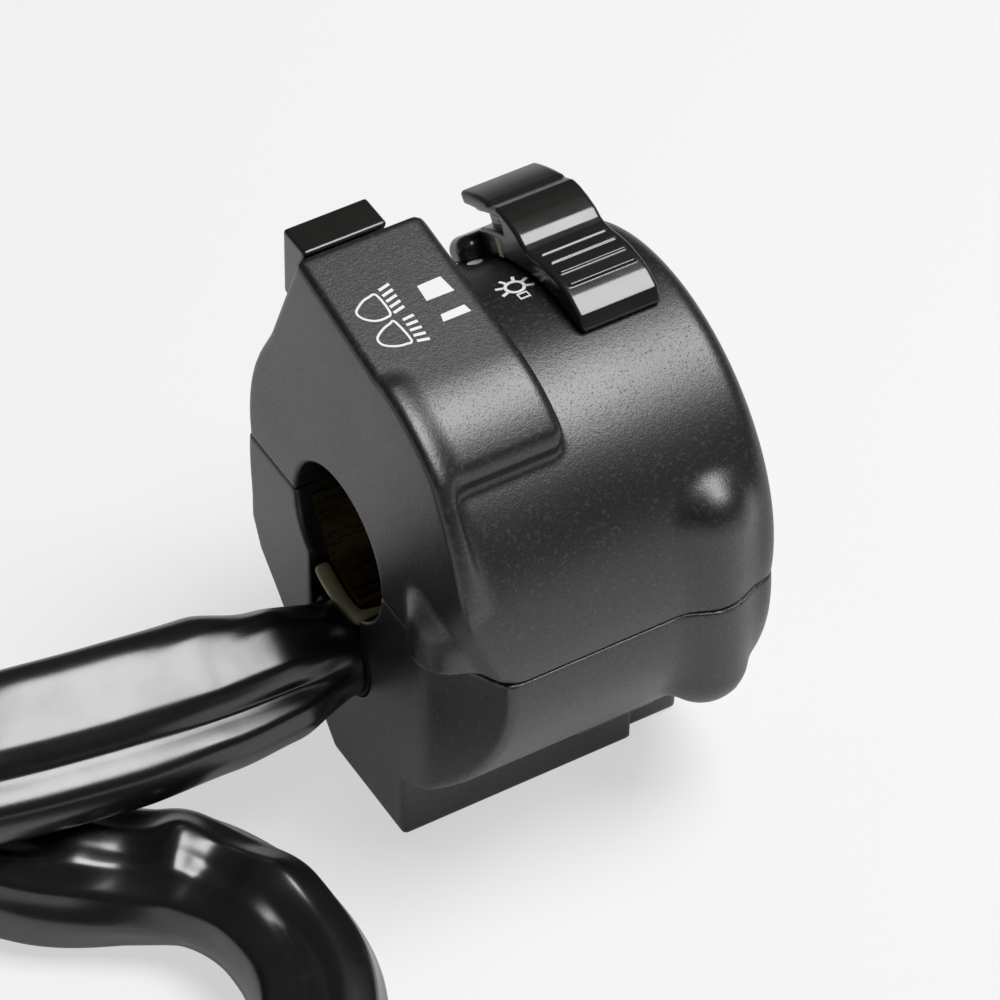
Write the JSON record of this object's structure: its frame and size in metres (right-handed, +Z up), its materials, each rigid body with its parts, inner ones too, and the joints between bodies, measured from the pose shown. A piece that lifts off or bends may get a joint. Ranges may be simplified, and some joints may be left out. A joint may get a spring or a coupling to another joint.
{
  "type": "handlebar switch cluster",
  "caption": "Left-hand handlebar switch cluster: split black housing that clamps round the bar, with a light lever, dimmer slide, turn-signal slide, horn button and harness.",
  "frame": {"origin": "centre of the handlebar bore at the inboard face", "axes": "+X outboard along the handlebar, +Y rearward to the rider, +Z up"},
  "size_m": [0.1649, 0.18, 0.0825],
  "materials": {
    "housing": "satin",
    "control": "semi-gloss",
    "zinc": "yellow passivated",
    "insulator": "matt",
    "carrier": "matt",
    "contact": "plain",
    "terminal": "plain",
    "spring_steel": "plain",
    "rubber": "matt",
    "wire": "satin",
    "sleeve": "gloss",
    "connector": "satin"
  },
  "bodies": {
    "housing": {"upper_housing": "housing", "lower_housing": "housing", "housing_screws": "zinc", "bar_saddle": "zinc", "light_base": "insulator", "light_terminals": "terminal", "dimmer_base": "insulator", "dimmer_terminals": "terminal", "turn_base": "insulator", "turn_terminals": "terminal", "horn_bezel": "control", "horn_base": "insulator", "horn_terminals": "terminal", "horn_spring": "spring_steel", "grommet": "rubber", "cable_clamp": "zinc", "clamp_screw": "zinc", "wires": "wire", "harness_sleeve": "sleeve", "connector": "connector", "connector_terminals": "terminal"},
    "light": {"light_lever": "control", "light_slider": "carrier", "light_contact": "contact", "light_detent_ball": "spring_steel", "light_detent_spring": "spring_steel"},
    "dimmer": {"dimmer_knob": "control", "dimmer_slider": "carrier", "dimmer_contact": "contact", "dimmer_detent_ball": "spring_steel", "dimmer_detent_spring": "spring_steel"},
    "turn": {"turn_knob": "control", "turn_carriage": "carrier", "turn_contact": "contact", "turn_detent_ball": "spring_steel", "turn_detent_spring": "spring_steel"},
    "horn": {"horn_button": "control", "horn_contact": "contact"}
  },
  "joints": [
    {"name": "light_turn", "type": "hinge", "parent": "housing", "child": "light", "pos_m": [0.036, -0.005, 0.004], "axis": [1, 0, 0], "range_deg": [0, 21.4]},
    {"name": "dimmer_slide", "type": "slide", "parent": "housing", "child": "dimmer", "axis": [0, 0.3746, -0.9272], "range_m": [0, 0.0065]},
    {"name": "turn_slide", "type": "slide", "parent": "housing", "child": "turn", "axis": [1, 0, 0], "range_m": [-0.004, 0.004]},
    {"name": "horn_push", "type": "slide", "parent": "housing", "child": "horn", "axis": [0, -0.7266, 0.6871], "range_m": [0, 0.0025], "stiffness_N_per_m": 200, "springref_m": -0.003, "deforming": ["horn_spring"]}
  ]
}
